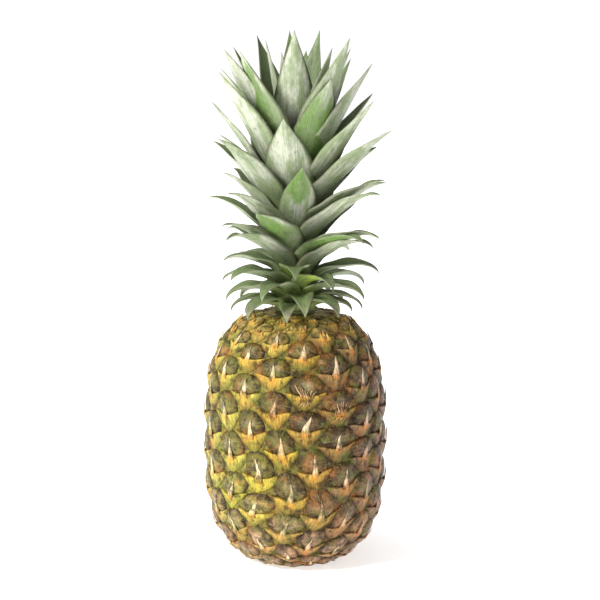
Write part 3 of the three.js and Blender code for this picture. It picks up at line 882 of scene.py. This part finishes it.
def bract_material():
    """Fibrous skin: streaks that run down the bract, blotches, and small dark specks."""
    material, tree, shader = new_material("bract_fibre")
    tint = attribute(tree, "tint", "Color")
    grain = attribute(tree, "grain", "Vector")
    fibre = noise(tree, grain, (1.5, 0.22, 1), 1, 4)
    colour = scaled(tree, tint, remap(tree, fibre, 0.36, 0.64, 0.65, 1.5))
    colour = weathered(tree, colour, object_place(tree))
    speck = noise(tree, grain, (0.9, 0.6, 1), 1.3, 2)
    colour = mixed(tree, remap(tree, speck, 0.66, 0.74, 0, 0.7), colour, SPECK)
    tree.links.new(colour, shader.inputs["Base Color"])
    shader.inputs["Specular IOR Level"].default_value = SKIN_SPECULAR
    tree.links.new(remap(tree, fibre, 0.3, 0.7, 0.55, 0.38), shader.inputs["Roughness"])
    bump(tree, fibre, 0.7, 0.001, shader)
    return material


def leaf_material():
    """Leaves: fine lengthwise streaks under a patchy silvery bloom, with pale flecks and dark scratches."""
    material, tree, shader = new_material("leaf_bloom")
    tint = attribute(tree, "tint", "Color")
    grain = attribute(tree, "grain", "Vector")
    streak = noise(tree, grain, (1.6, 0.03, 1), 1, 4)
    patch = noise(tree, grain, (0.16, 0.05, 1), 1, 5)
    fleck = noise(tree, grain, (0.5, 0.3, 1), 1, 6)
    colour = scaled(tree, tint, remap(tree, streak, 0.3, 0.7, 0.7, 1.25))
    colour = mixed(tree, remap(tree, patch, 0.43, 0.58, 0, 0.75), colour, WORN_BLOOM)
    colour = scaled(tree, colour, remap(tree, fleck, 0.35, 0.65, 0.86, 1.12))
    colour = mixed(tree, remap(tree, fleck, 0.36, 0.3, 0, 0.5), colour, SCRATCH)
    tree.links.new(colour, shader.inputs["Base Color"])
    tree.links.new(remap(tree, patch, 0.3, 0.7, 0.55, 0.36), shader.inputs["Roughness"])
    bump(tree, streak, 0.7, 0.0007, shader)
    return material


def stalk_material():
    """The cut end of the stalk: pale wood with the pores of its bundles, browner towards the bark."""
    material, tree, shader = new_material("stalk_wood")
    tint = attribute(tree, "tint", "Color")
    place = object_place(tree)
    pores = tree.nodes.new("ShaderNodeTexVoronoi")
    pores.inputs["Scale"].default_value = 900
    tree.links.new(place, pores.inputs["Vector"])
    distance = pores.outputs["Distance"]
    mottle = noise(tree, place, EVEN, 180, 4)
    colour = scaled(tree, tint, remap(tree, mottle, 0.3, 0.7, 0.7, 1.2))
    colour = mixed(tree, remap(tree, distance, 0.28, 0.12, 0, 0.75), colour, PORE)
    tree.links.new(colour, shader.inputs["Base Color"])
    shader.inputs["Roughness"].default_value = 0.85
    bump(tree, distance, 0.5, 0.0006, shader)
    return material


def stalk_end(skin):
    """The plug of the stalk: a rough cut face with a raised rim, and straight sides."""
    turn = turns(STALK_SIDES)
    rings = np.array([0.001, 0.15, 0.3, 0.45, 0.6, 0.75, 0.88, 0.96, 1])[:, None]
    rough = 0.35 + 0.25 * np.sin(5 * turn + 9 * rings) * np.sin(11 * rings + 2 * np.cos(3 * turn))
    face_height = np.clip(rough, 0, None) * np.clip((1 - rings) * 12, 0, 1)
    side_height = np.array([0.5, 3, 6, STALK_DEPTH])[:, None] + 0 * turn
    top = np.array([0.7, 0.3, 0.001])[:, None]
    radius = STALK_RADIUS * np.vstack([rings + 0 * turn, np.ones_like(side_height), top + 0 * turn])
    height = np.vstack([face_height, side_height, np.full((len(top), len(turn)), STALK_DEPTH)])
    places = revolved(radius, height, turn)
    tint = mix(WOOD, BARK, smooth(0.75, 1, radius / STALK_RADIUS))
    skin.add(places, grid_faces(len(height), len(turn), closed=True), tint, places)


def dress(piece, slot, *nodes):
    """Ties a piece to the part's root body, and hides the nodes that it stands for. The slot is not used."""
    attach(piece, "root")
    if nodes:
        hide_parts(*nodes)


def fruit_pieces():
    rind = Skin()
    bracts = Skin()
    barrel(rind)
    for eye in all_eyes():
        look = eye_look(eye)
        dome(rind, eye, look)
        pad(bracts, eye, look)
        tongue(bracts, eye, look)
    dress(rind.build("rind", rind_material()), "rind", "fruit")
    dress(bracts.build("bracts", bract_material()), "rind")


def crown_piece():
    leaves = Skin()
    stem(leaves)
    for index in range(FIRST_LEAF, LAST_LEAF + 1):
        leaf(leaves, index)
    dress(leaves.build("crown_leaves", leaf_material()), "leaf", "crown")


def stalk_piece():
    plug = Skin()
    stalk_end(plug)
    dress(plug.build("stalk_end", stalk_material()), "cut_stalk", "cut_stalk")


def white_stage():
    """A white floor that glows a little, and more away from the object, so that its shadow is faint."""
    mesh = bpy.data.meshes.new("floor")
    far = FLOOR_HALF_SIDE
    under = -FLOOR_DROP * MM
    corners = [(-far, -far, under), (far, -far, under), (far, far, under), (-far, far, under)]
    mesh.from_pydata(corners, [], [(0, 1, 2, 3)])
    floor = bpy.data.objects.new("floor", mesh)
    bpy.context.scene.collection.objects.link(floor)
    material, tree, shader = new_material("floor_white")
    shader.inputs["Base Color"].default_value = (FLOOR_GREY, FLOOR_GREY, FLOOR_GREY, 1)
    shader.inputs["Roughness"].default_value = 0.9
    shader.inputs["Emission Color"].default_value = (1, 1, 1, 1)
    away = tree.nodes.new("ShaderNodeVectorMath")
    away.operation = "LENGTH"
    tree.links.new(object_place(tree), away.inputs[0])
    glow = remap(tree, away.outputs["Value"], *GLOW_PLACES, *GLOW_STRENGTHS)
    tree.links.new(glow, shader.inputs["Emission Strength"])
    mesh.materials.append(material)
    floor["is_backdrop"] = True


def white_world():
    """White behind the object, and a softer white as the light from all around."""
    world = bpy.data.worlds.new("white")
    bpy.context.scene.world = world
    world.use_nodes = True
    tree = world.node_tree
    seen = tree.nodes["Background"]
    light = tree.nodes.new("ShaderNodeBackground")
    for background, strength in ((seen, WHITE_SEEN), (light, WHITE_LIGHT)):
        background.inputs["Color"].default_value = (1, 1, 1, 1)
        background.inputs["Strength"].default_value = strength
    path = tree.nodes.new("ShaderNodeLightPath")
    choose = tree.nodes.new("ShaderNodeMixShader")
    tree.links.new(path.outputs["Is Camera Ray"], choose.inputs["Fac"])
    tree.links.new(light.outputs["Background"], choose.inputs[1])
    tree.links.new(seen.outputs["Background"], choose.inputs[2])
    tree.links.new(choose.outputs["Shader"], tree.nodes["World Output"].inputs["Surface"])


def area_light(name, place, size, power):
    """A square light that looks at the middle of the object."""
    data = bpy.data.lights.new(name, "AREA")
    data.size = size
    data.energy = power
    light = bpy.data.objects.new(name, data)
    light.location = place
    lowest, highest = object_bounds()
    middle = (lowest + highest) / 2
    light.rotation_euler = (middle - light.location).to_track_quat("-Z", "Y").to_euler()
    bpy.context.scene.collection.objects.link(light)


def camera():
    """The photograph's camera, a little over the object and looking down at it."""
    data = bpy.data.cameras.new("camera")
    data.lens = LENS
    data.sensor_width = SENSOR
    eye = bpy.data.objects.new("camera", data)
    eye.location = (
        AIM[0],
        AIM[1] - CAMERA_DISTANCE * math.cos(CAMERA_ELEVATION),
        AIM[2] + CAMERA_DISTANCE * math.sin(CAMERA_ELEVATION),
    )
    eye.rotation_euler = (math.pi / 2 - CAMERA_ELEVATION, 0, 0)
    bpy.context.scene.collection.objects.link(eye)
    bpy.context.scene.camera = eye


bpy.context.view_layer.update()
fruit_pieces()
crown_piece()
stalk_piece()
white_stage()
white_world()
area_light("key", KEY_PLACE, KEY_SIZE, KEY_POWER)
camera()
bpy.context.scene.view_settings.view_transform = "Standard"
